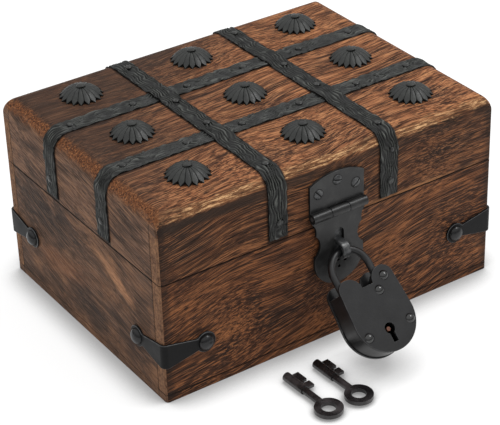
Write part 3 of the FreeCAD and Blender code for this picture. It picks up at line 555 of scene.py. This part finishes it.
def lid_band(half_span, crossings, seed):
    """A flat bar with ridges rolled into it and sheared edges, bent over the lid along Y."""
    drop = top_level - 2 * top_rounding - band_end_level
    half_length = half_span + (top_rounding + band_thickness) * math.pi / 2 + drop
    rows_along = round(2 * half_length / row_step)
    shape = bmesh.new()
    layer = shape.verts.layers.float.new("ridge")
    bmesh.ops.create_grid(shape, x_segments=rows_across, y_segments=rows_along, size=1.0)
    bmesh.ops.scale(shape, verts=shape.verts, vec=(band_width / 2, half_length, 1))
    rolled = list(shape.verts)
    # The skirt round the bar's edges takes the second finish, painted shade for the shadow along them.
    sheared = skirted(shape, [edge for edge in shape.edges if edge.is_boundary])
    for vert in rolled:
        across, run = vert.co.x, vert.co.y
        drift = sum(wander(run, across, seed, lay) for lay in ridge_drifts)
        wave = abs(math.cos(math.pi * (across / ridge_pitch + drift))) ** 1.3
        swell = wander(run, across, seed, ridge_swell)
        vert[layer] = max(0.0, min(1.0, wave * (0.86 + swell)))
    for vert in shape.verts:
        across, run = vert.co.x, vert.co.y
        place, facing, lift = over_lid(run, half_span, crossings)
        if abs(across) > band_width / 2 - 1e-5:
            edge = Vector((run / shear_reach, seed, math.copysign(3, across)))
            across += shear_waver * noise.noise(edge)
        vert.co = place + facing * (lift - ridge_depth * (1 - vert[layer])) + Vector((across, 0, 0))
    for vert in sheared:
        run = vert.co
        inner = Vector((0, max(top_rounding - half_span, min(half_span - top_rounding, run.y)), 0))
        inner.z = min(run.z, top_level - top_rounding)
        out = Vector((0, run.y - inner.y, run.z - inner.z)).normalized()
        vert.co = Vector((run.x, inner.y, inner.z)) + out * (top_rounding - edge_sink)
    bmesh.ops.recalc_face_normals(shape, faces=shape.faces)
    return shape


for name, place, seed in (("rear", cross_band_place, 11.3), ("fore", -cross_band_place, 24.9)):
    shape = lid_band(half_width, [], seed)
    quarter_turn = Matrix.Rotation(math.radians(90), 3, "Z")
    bmesh.ops.rotate(shape, verts=shape.verts, cent=(0, 0, 0), matrix=quarter_turn)
    bmesh.ops.translate(shape, verts=shape.verts, vec=(0, place, 0))
    finishes = [band_iron, edge_shade_iron]
    set_piece(shape, name + "_cross_band", "lid", finishes, ["band_" + name], 50)
for name, place, seed in (("left", -long_band_place, 37.1), ("right", long_band_place, 52.7)):
    shape = lid_band(half_depth, [-cross_band_place, cross_band_place], seed)
    bmesh.ops.translate(shape, verts=shape.verts, vec=(place, 0, 0))
    finishes = [band_iron, edge_shade_iron]
    set_piece(shape, name + "_long_band", "lid", finishes, ["band_" + name], 50)

# Small iron nails hold the bands to the lid, each driven nearly flush so that only a low, hammered
# head shows. The crowns of the heads are rubbed grey, and painted shade lies near black round their rims.
nail_radius = 0.0020
nail_rise = 0.0009
nail_sink = 0.0001
cross_nails_on_top = [-0.0885, -0.0520, -0.0190, 0.0160, 0.0520, 0.0850]
cross_nail_level = 0.0800
long_nails_on_top = [-0.0655, -0.0140, 0.0150, 0.0620]
long_nail_level = 0.0788
upper_nail_level = 0.0965
upper_nail_radius = 0.0014
cross_side_offset = 0.0006
long_top_offset = 0.0012
long_side_offset = 0.0008
upper_offset = 0.0014

nail_iron, tree, surface = new_finish("rubbed nail heads with shaded rims")
worn = specks(tree, 0.0016, (0.1, 0.9, 0.6), 2.0, 0.5)
iron = graded(tree, worn, [(0.30, paint(28, 29, 28)), (0.50, paint(42, 43, 41)),
                           (0.70, paint(72, 73, 70))])
# Painted shade: the lower part of each head, round its rim, darkens to near black.
iron = laid_over(tree, between(tree, ridge_height(tree), 0.62, 0.40), iron, paint(9, 9, 9))
tree.links.new(iron, surface.inputs["Base Color"])
surface.inputs["Metallic"].default_value = 0.2
surface.inputs["Roughness"].default_value = 0.34


def faces_at(verts):
    """The faces that meet at some vertices."""
    return list({face for vert in verts for face in vert.link_faces})


def whole_of(verts):
    """Some vertices with the edges and faces that meet at them."""
    return list(verts) + list({edge for vert in verts for edge in vert.link_edges}) + faces_at(verts)


def round_head(shape, at, out, radius, rise, sides=16):
    """A domed head at a place on a surface, facing out of it."""
    dome = bmesh.ops.create_uvsphere(shape, u_segments=sides, v_segments=12, radius=1.0)["verts"]
    cut = bmesh.ops.bisect_plane(shape, geom=whole_of(dome), plane_co=(0, 0, 0), plane_no=(0, 0, 1),
                                 clear_inner=True)["geom"]
    faces = [item for item in cut if item.is_valid and isinstance(item, bmesh.types.BMFace)]
    kept = list({vert for face in faces for vert in face.verts})
    facing = Vector((0, 0, 1)).rotation_difference(Vector(out))
    place = Matrix.LocRotScale(Vector(at), facing, (radius, radius, rise))
    bmesh.ops.transform(shape, verts=kept, matrix=place)
    return kept


shape = bmesh.new()
layer = shape.verts.layers.float.new("ridge")
heads = []
low_side = band_thickness - nail_sink
for place in (-cross_band_place, cross_band_place):
    heads += [((along, place, top_level + low_side), (0, 0, 1)) for along in cross_nails_on_top]
    for side in (-1, 1):
        at = (side * (half_width + low_side), place + cross_side_offset, cross_nail_level)
        heads.append((at, (side, 0, 0)))
for place in (-long_band_place, long_band_place):
    across = place + long_top_offset
    heads += [((across, along, top_level + low_side), (0, 0, 1)) for along in long_nails_on_top]
    for side in (-1, 1):
        at = (place + long_side_offset, side * (half_depth + low_side), long_nail_level)
        heads.append((at, (0, side, 0)))
heads = [head + (nail_radius,) for head in heads]
for side in (-1, 1):
    at = (long_band_place + upper_offset, side * (half_depth + low_side), upper_nail_level)
    heads.append((at, (0, side, 0), upper_nail_radius))
for at, out, radius in heads:
    for vert in round_head(shape, at, out, radius, nail_rise):
        vert[layer] = (vert.co - Vector(at)).dot(Vector(out)) / nail_rise
set_piece(shape, "band_nails", "lid", [nail_iron])

# Nine rosette studs pressed from sheet iron, one in each field between the bands.
# Each is a fluted dome whose petals end in points, with a round button standing on its crown,
# and is held by the button's own shank driven into the lid.
petals = 18
petal_ridge = [(0.0016, 0.0054), (0.0030, 0.0055), (0.0054, 0.0050),
               (0.0074, 0.0041), (0.0096, 0.0022), (0.0117, 0.0003)]
petal_flank = [(0.0016, 0.0054), (0.0030, 0.0054), (0.0054, 0.0048),
               (0.0074, 0.0039), (0.0090, 0.0026), (0.0100, 0.0017)]
petal_hollow = [(0.0016, 0.0052), (0.0030, 0.0052), (0.0054, 0.0045),
                (0.0073, 0.0036), (0.0085, 0.0027), (0.0092, 0.0020)]
flank_share = 0.78
flank_height = 0.8
tip_from = 0.0091
button_lean = -13
button_seat = 0.0055
button_side = [(0.0, 0.0068), (0.0011, 0.0067), (0.0019, 0.0064), (0.0024, 0.0060),
               (0.0026, 0.0056), (0.0023, 0.0053), (0.0016, 0.0048)]
stud_places_along = [-0.06773, 0.0, 0.06773]
stud_places_across = [-0.0508, 0.0, 0.0508]

stud_iron, tree, surface = new_finish("pressed black iron")
dull = specks(tree, 0.004, (0.6, 0.1, 0.3), 4.0, 0.65)
iron = graded(tree, dull, [(0.3, paint(22, 24, 23)), (0.5, paint(33, 35, 33)), (0.75, paint(52, 54, 51))])
# Painted shade: the iron darkens to near black in the hollows between the petals and under the button's
# rim.
iron = laid_over(tree, between(tree, ridge_height(tree), 0.45, 0.0, 0.0, 0.7), iron, paint(8, 8, 8))
tree.links.new(iron, surface.inputs["Base Color"])
tree.links.new(between(tree, dull, 0.3, 0.7, 0.36, 0.50), surface.inputs["Roughness"])
grit = specks(tree, 0.0007, (0.3, 0.2, 0.8), 2.0, 0.6)
relief(tree, surface, grit, 0.00012)


def line(shape, points):
    """A chain of edges through points in a plane, ready to be turned or drawn out."""
    verts = [shape.verts.new(point) for point in points]
    return verts, [shape.edges.new(pair) for pair in zip(verts, verts[1:])]


def rosette(shape, at):
    """One half petal bridged between its ridge and its hollow, mirrored and turned round the stud."""
    before = set(shape.verts)
    layer = shape.verts.layers.float["ridge"]
    turn = math.pi / petals
    middle, upright, still = (0, 0, 0), (0, 0, 1), (0, 0, 0)
    crest, ridge = line(shape, [(r, 0, z) for r, z in petal_ridge])
    for vert in crest:
        vert[layer] = 1.0
    for side in (1, -1):
        lean = side * turn * flank_share
        verts, flank = line(shape, [(r * math.cos(lean), r * math.sin(lean), z) for r, z in petal_flank])
        for vert in verts:
            vert[layer] = flank_height
        deep = side * turn
        hollow = line(shape, [(r * math.cos(deep), r * math.sin(deep), z) for r, z in petal_hollow])[1]
        bmesh.ops.bridge_loops(shape, edges=ridge + flank)
        bmesh.ops.bridge_loops(shape, edges=flank + hollow)
    petal = [vert for vert in shape.verts if vert not in before]
    tips = [edge for face in faces_at(petal) for edge in face.edges if edge.is_boundary
            and min(math.hypot(vert.co.x, vert.co.y) for vert in edge.verts) > tip_from]
    # The skirts under the tips take the second finish, painted shade for the shadow beneath them.
    for vert in skirted(shape, tips):
        vert.co.z = 0.0
    petal = [vert for vert in shape.verts if vert not in before]
    bmesh.ops.spin(shape, geom=whole_of(petal), cent=middle, axis=upright, dvec=still,
                   angle=math.tau * (petals - 1) / petals, steps=petals - 1, use_duplicate=True)
    below = set(shape.verts)
    verts, edges = line(shape, [(r, 0, z) for r, z in button_side])
    # The two lowest points under the button's rim keep nought, so painted shade lies there.
    for vert in verts[:-2]:
        vert[layer] = flank_height
    bmesh.ops.spin(shape, geom=verts + edges, cent=middle, axis=upright, dvec=still,
                   angle=math.tau, steps=20, use_merge=True)
    button = [vert for vert in shape.verts if vert not in below]
    leaning = Matrix.Rotation(math.radians(button_lean), 3, "X")
    bmesh.ops.rotate(shape, verts=button, cent=(0, 0, button_seat), matrix=leaning)
    new = [vert for vert in shape.verts if vert not in before]
    bmesh.ops.remove_doubles(shape, verts=new, dist=1e-6)
    new = [vert for vert in shape.verts if vert not in before]
    bmesh.ops.recalc_face_normals(shape, faces=faces_at(new))
    bmesh.ops.translate(shape, verts=new, vec=at)


shape = bmesh.new()
shape.verts.layers.float.new("ridge")
for along in stud_places_along:
    for across in stud_places_across:
        rosette(shape, (along, across, top_level))
set_piece(shape, "rosette_studs", "lid", [stud_iron, edge_shade_iron], ["studs"], 22)

# A wrap of sheet iron folded round each corner of the box, widest at the fold and drawn out at both
# ends to a round lobe. It is cut by shears, its edges broken with a file, and painted satin black.
filed_edge = 0.0003
fine_edge = 0.0002


def painted_iron(name, shades, sheen, gloss, grain=0.00005):
    """Iron under satin black paint, a little uneven where the hammer or the mould left it so."""
    material, tree, surface = new_finish(name)
    low, middle, high = [paint(*shade) for shade in shades]
    cast = specks(tree, 0.011, (0.7, 0.6, 0.2), 4.0, 0.6)
    iron = graded(tree, cast, [(0.3, low), (0.5, middle), (0.75, high)])
    tree.links.new(iron, surface.inputs["Base Color"])
    tree.links.new(between(tree, cast, 0.3, 0.7, sheen, sheen + 0.12), surface.inputs["Roughness"])
    surface.inputs["Specular IOR Level"].default_value = gloss
    grit = specks(tree, 0.0009, (0.4, 0.7, 0.9), 3.0, 0.6)
    relief(tree, surface, both(tree, grit, both(tree, cast, 3.0), "ADD"), grain)
    return material


wrap_iron = painted_iron("satin black wrap iron", [(9, 9, 10), (14, 14, 15), (22, 22, 23)], 0.42, 0.14)
clout_iron = painted_iron("polished black nail heads", [(9, 9, 9), (14, 14, 15), (26, 26, 27)], 0.2, 0.4)
black_iron = painted_iron("satin black iron", [(19, 19, 19), (33, 33, 33), (58, 58, 57)], 0.28, 0.34)

worn_iron, tree, surface = new_finish("edges of black iron worn bright")
wear = specks(tree, 0.003, (0.2, 0.3, 0.1), 4.0, 0.65)
iron = graded(tree, wear, [(0.35, paint(40, 41, 42)), (0.55, paint(72, 73, 74)),
                           (0.75, paint(118, 118, 116))])
tree.links.new(iron, surface.inputs["Base Color"])
surface.inputs["Metallic"].default_value = 0.25
surface.inputs["Roughness"].default_value = 0.38


def filed(node, ease, turn=40):
    """A node's own shape with its sharp edges broken by a file, the filed faces marked as worn."""
    shape = merged_copy(node)
    sharp = math.radians(turn)
    edges = [edge for edge in shape.edges if edge.is_manifold and edge.calc_face_angle() > sharp]
    cut = bmesh.ops.bevel(shape, geom=edges, offset=ease, affect="EDGES", segments=2, profile=0.5,
                          clamp_overlap=True, material=-1)
    for face in cut["faces"]:
        face.material_index = 1
    return shape


def refinish(node, finish):
    """A node that keeps its own shape, given a finish."""
    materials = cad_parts[node].data.materials
    materials.clear()
    materials.append(finish)


for corner in ("front_left", "front_right", "back_right", "back_left"):
    node = "bracket_" + corner
    shape = filed(node, filed_edge)
    set_piece(shape, "corner_wrap_" + corner, "box", [wrap_iron, worn_iron], [node])

# Eight large clout nails, one through each lobe of the corner wraps.
# The heads are forged to full domes, blackened with the wraps and polished a little by handling.
clout_radius = 0.0043
clout_rise = 0.0028
wrap_thickness = 0.0012
wrap_reach = 0.0234
wrap_level = 0.0314
near_wrap_drop = 0.0036

shape = bmesh.new()
for side in (-1, 1):
    for face in (-1, 1):
        level = wrap_level - near_wrap_drop if (side, face) == (-1, -1) else wrap_level
        at = (side * (half_width - wrap_reach), face * (half_depth + wrap_thickness), level)
        round_head(shape, at, (0, face, 0), clout_radius, clout_rise, 32)
        at = (side * (half_width + wrap_thickness), face * (half_depth - wrap_reach), level)
        round_head(shape, at, (side, 0, 0), clout_radius, clout_rise, 32)
set_piece(shape, "clout_nails", "box", [clout_iron], ["bracket_rivets"])

# The hasp: a leaf screwed to the lid and a waisted strap with a slot, cut from sheet iron.
# Their edges are rolled into three knuckles round one pin, and three slotted screws hold the leaf.
screw_radius = 0.0026
screw_rise = 0.0009
screw_slot = 0.0007
slot_depth = 0.0007
slot_floor = 0.00005
shade_disc_rim = 0.0004
shade_disc_lift = 0.00006
leaf_front = -0.0777
leaf_screws = [(-0.0103, 0.0869, 40), (0.0011, 0.0915, 75), (0.0123, 0.0861, -50)]

for node, name, body in (("hasp_leaf", "hasp_leaf_plate", "lid"),
                         ("hasp_strap", "hasp_slotted_strap", "hasp")):
    shape = filed(node, filed_edge)
    shape.normal_update()
    # The faces along the two side edges take the third finish, painted shade for the shadow along them.
    for face in shape.faces:
        if abs(face.normal.x) > 0.5:
            face.material_index = 2
    set_piece(shape, name, body, [black_iron, worn_iron, edge_shade_iron], [node])
refinish("hasp_pin", worn_iron)

# Painted shade: near black for the screw slots and for a flat disc round each screw head.
slot_shade, tree, surface = new_finish("painted shade in screw slots")
slot_speckle = specks(tree, 0.001)
iron = graded(tree, slot_speckle, [(0.3, paint(8, 8, 8)), (0.7, paint(22, 21, 20))])
tree.links.new(iron, surface.inputs["Base Color"])
surface.inputs["Roughness"].default_value = 0.8


def unset_head(shape):
    """The vertices of the screw head that is still being cut at the origin."""
    return [vert for vert in shape.verts if vert.co.length < 1.5 * screw_radius]


def slotted_screw(shape, at, out, turn):
    """A low round screw head, cut across by a saw slot, on a flat disc just above the surface; the slot's
    faces and the disc carry painted shade.
    """
    rim = screw_radius + shade_disc_rim
    # A flat disc of painted shade round the foot of the head.
    shade_disc = bmesh.ops.create_circle(shape, cap_ends=True, segments=24, radius=rim)["verts"]
    for face in faces_at(shade_disc):
        face.material_index = 1
    slot_turn = Matrix.Rotation(math.radians(turn), 3, "Z").to_quaternion()
    facing = Vector((0, 0, 1)).rotation_difference(Vector(out)) @ slot_turn
    place = Matrix.LocRotScale(Vector(at) + Vector(out) * shade_disc_lift, facing, (1, 1, 1))
    bmesh.ops.transform(shape, verts=shade_disc, matrix=place)
    round_head(shape, (0, 0, 0), (0, 0, 1), screw_radius, screw_rise, 24)
    for side in (-1, 1):
        head = whole_of(unset_head(shape))
        wall = (side * screw_slot / 2, 0, 0)
        bmesh.ops.bisect_plane(shape, geom=head, plane_co=wall, plane_no=(1, 0, 0))
    faces = faces_at(unset_head(shape))
    floor = [face for face in faces if abs(face.calc_center_median().x) < screw_slot / 2]
    sunk = bmesh.ops.extrude_face_region(shape, geom=floor)["geom"]
    bmesh.ops.delete(shape, geom=floor, context="FACES")
    for item in sunk:
        if isinstance(item, bmesh.types.BMVert):
            item.co.z = max(item.co.z - slot_depth, slot_floor)
        if isinstance(item, bmesh.types.BMFace):
            item.material_index = 1
    bmesh.ops.transform(shape, verts=unset_head(shape), matrix=place)


shape = bmesh.new()
for along, level, turn in leaf_screws:
    slotted_screw(shape, (along, leaf_front, level), (0, -1, 0), turn)
set_piece(shape, "hasp_leaf_screws", "lid", [worn_iron, slot_shade])

# The staple: a strip of iron bent to a loop and fixed upright on a small plate on the box front.
# It comes through the strap's slot, and the padlock has rubbed its loop to grey metal.
shape = filed("staple", fine_edge)
set_piece(shape, "staple_loop", "box", [worn_iron, worn_iron], ["staple"])

# Two butt hinges screwed to the outside of the back, each of two leaves of sheet iron with
# rolled knuckles and a steel pin, the leaves painted black like the other fittings.
hinge_places = [-0.066, 0.066]
hinge_front = 0.0774
hinge_screws = {"box": [(-0.0085, 0.0570, 30), (0.0085, 0.0570, -15)],
                "lid": [(-0.0085, 0.0790, 70), (0.0085, 0.0790, 10)]}

for side in ("left", "right"):
    for body in ("lid", "box"):
        node = "hinge_%s_%s_leaf" % (side, body)
        name = "%s_hinge_%s_plate" % (side, body)
        set_piece(filed(node, fine_edge), name, body, [black_iron, worn_iron], [node])
    refinish("hinge_%s_pin" % side, worn_iron)
for body, screws in hinge_screws.items():
    shape = bmesh.new()
    for place in hinge_places:
        for across, level, turn in screws:
            slotted_screw(shape, (place + across, hinge_front, level), (0, 1, 0), turn)
    set_piece(shape, "hinge_screws_in_" + body, body, [black_iron, slot_shade])

# The padlock: two iron plates riveted over a bent rim, with a round-rod shackle on a pivot,
# a sliding bolt and a drill pin behind the keyhole. The plates are ground smooth and blackened.
plate_edge = 0.0004

ground_colours = [(20, 20, 21), (28, 28, 29), (38, 38, 39)]
glossy_colours = [(14, 14, 15), (22, 22, 23), (34, 34, 35)]
ground_iron = painted_iron("ground black lock plates", ground_colours, 0.42, 0.32)
glossy_iron = painted_iron("glossy black lock iron", glossy_colours, 0.28, 0.5, 0.00001)

bright_steel, tree, surface = new_finish("polished rivet steel")
scuffs = specks(tree, 0.0012, (0.6, 0.4, 0.1), 3.0, 0.6)
iron = graded(tree, scuffs, [(0.3, paint(14, 14, 14)), (0.5, paint(22, 22, 22)), (0.7, paint(40, 40, 39))])
tree.links.new(iron, surface.inputs["Base Color"])
surface.inputs["Metallic"].default_value = 0.3
surface.inputs["Specular IOR Level"].default_value = 1.0
tree.links.new(between(tree, scuffs, 0.3, 0.7, 0.06, 0.12), surface.inputs["Roughness"])

rusty_steel, tree, surface = new_finish("rusty drill pin")
rust = specks(tree, 0.0008, (0.3, 0.3, 0.8), 3.0, 0.6)
iron = graded(tree, rust, [(0.3, paint(52, 32, 24)), (0.6, paint(118, 70, 46))])
tree.links.new(iron, surface.inputs["Base Color"])
surface.inputs["Roughness"].default_value = 0.55

for node, name, iron in (("lock_back_plate", "padlock_back_plate", glossy_iron),
                         ("lock_front_plate", "padlock_front_plate", ground_iron),
                         ("lock_rim", "padlock_rim", glossy_iron)):
    set_piece(filed(node, plate_edge), name, "case", [iron, worn_iron], [node])
shape = merged_copy("lock_rivets")
set_piece(shape, "padlock_rivets", "case", [bright_steel], ["lock_rivets"])
shape = merged_copy("lock_shackle")
set_piece(shape, "padlock_shackle", "shackle", [glossy_iron], ["lock_shackle"])
shape = filed("lock_bolt", fine_edge)
set_piece(shape, "padlock_bolt", "bolt", [black_iron, worn_iron], ["lock_bolt"])
refinish("lock_pivot", bright_steel)
refinish("lock_drill_pin", rusty_steel)

# Two keys lying on the surface beside the chest: a hollow barrel, a flat bit with a notch and a
# flat ring bow, cast in one piece of iron and left with softened edges.
key_edge = 0.0005
key_iron = painted_iron("bare grey key iron", [(20, 18, 19), (35, 32, 33), (78, 73, 74)], 0.22, 0.5)
for key in ("key_1", "key_2"):
    set_piece(filed(key, key_edge), "iron_" + key, key, [key_iron, key_iron], [key])

# The surface under the chest: a plain white sheet that runs on behind it, under soft studio light,
# with a broad lamp above to the right and a camera above to the left of the chest's front.
sheet_size = 24.0
shadow_reach = 0.023
paper_shades = [(0.3, (0.86, 0.86, 0.86, 1)), (0.7, (0.88, 0.88, 0.88, 1))]
paper_in_picture = (0.30, 0.30, 0.30, 1)
glow_at_foot = 0.22
glow_in_open = 0.80
lamp_place = (0.55, -0.35, 1.05)
lamp_aim = (0, 0, 0.05)
lamp_width = 0.35
lamp_power = 3.6
film_width = 36
camera_place = (-0.464379, -0.706223, 0.550804)
camera_turn = -33.362
camera_height = 31.395
camera_lean = -1.86
focal_pixels = 1856.443
picture_width = 500

shape = bmesh.new()
bmesh.ops.create_grid(shape, x_segments=1, y_segments=1, size=sheet_size / 2)
mesh = bpy.data.meshes.new("white_sheet")
shape.to_mesh(mesh)
shape.free()
sheet = bpy.data.objects.new("white_sheet", mesh)
bpy.context.scene.collection.objects.link(sheet)
white, tree, surface = new_finish("white sheet")
speckle = specks(tree, 0.02, (0.1, 0.2, 0.3), 2.0, 0.5)
paper = graded(tree, speckle, paper_shades)
surface.inputs["Roughness"].default_value = 0.9
surface.inputs["Specular IOR Level"].default_value = 0.1
seen = tree.nodes.new("ShaderNodeLightPath")
glow = both(tree, seen.outputs["Is Camera Ray"], seen.outputs["Is Glossy Ray"], "MAXIMUM")
glow = both(tree, glow, seen.outputs["Is Transmission Ray"], "MAXIMUM")
tree.links.new(laid_over(tree, glow, paper, paper_in_picture), surface.inputs["Base Color"])
open_air = tree.nodes.new("ShaderNodeAmbientOcclusion")
open_air.inputs["Distance"].default_value = shadow_reach
surface.inputs["Emission Color"].default_value = (1, 1, 1, 1)
glow_here = between(tree, open_air.outputs["AO"], 0.47, 0.95, glow_at_foot, glow_in_open)
tree.links.new(both(tree, glow, glow_here), surface.inputs["Emission Strength"])
mesh.materials.append(white)

world = bpy.data.worlds.new("studio")
bpy.context.scene.world = world
world.use_nodes = True
tree = world.node_tree
sky = tree.nodes["Background"]
sky.inputs["Color"].default_value = (1, 1, 1, 1)
direction = tree.nodes.new("ShaderNodeTexCoord")
split = tree.nodes.new("ShaderNodeSeparateXYZ")
tree.links.new(direction.outputs["Generated"], split.inputs["Vector"])
tree.links.new(between(tree, split.outputs["Z"], 0.05, 0.75, 0.30, 1.05), sky.inputs["Strength"])

lamp_data = bpy.data.lights.new("softbox", "AREA")
lamp_data.shape = "DISK"
lamp_data.size = lamp_width
lamp_data.energy = lamp_power
lamp = bpy.data.objects.new("softbox", lamp_data)
bpy.context.scene.collection.objects.link(lamp)
lamp.location = lamp_place
lamp.rotation_euler = (Vector(lamp_aim) - lamp.location).to_track_quat("-Z", "Y").to_euler()

turn, height, lean = [math.radians(angle) for angle in (camera_turn, camera_height, camera_lean)]
back = Vector((math.sin(turn) * math.cos(height), -math.cos(turn) * math.cos(height), math.sin(height)))
right = Vector((math.cos(turn), math.sin(turn), 0))
up = back.cross(right)
tipped = right * math.cos(lean) + up * math.sin(lean)
up = up * math.cos(lean) - right * math.sin(lean)
camera_data = bpy.data.cameras.new("camera")
camera_data.sensor_fit = "HORIZONTAL"
camera_data.sensor_width = film_width
camera_data.lens = film_width * focal_pixels / picture_width
camera_data.clip_start = 0.01
camera = bpy.data.objects.new("camera", camera_data)
bpy.context.scene.collection.objects.link(camera)
facing = Matrix((tipped, up, back)).transposed().to_4x4()
camera.matrix_world = Matrix.Translation(camera_place) @ facing
bpy.context.scene.camera = camera
bpy.context.scene.view_settings.view_transform = "Standard"
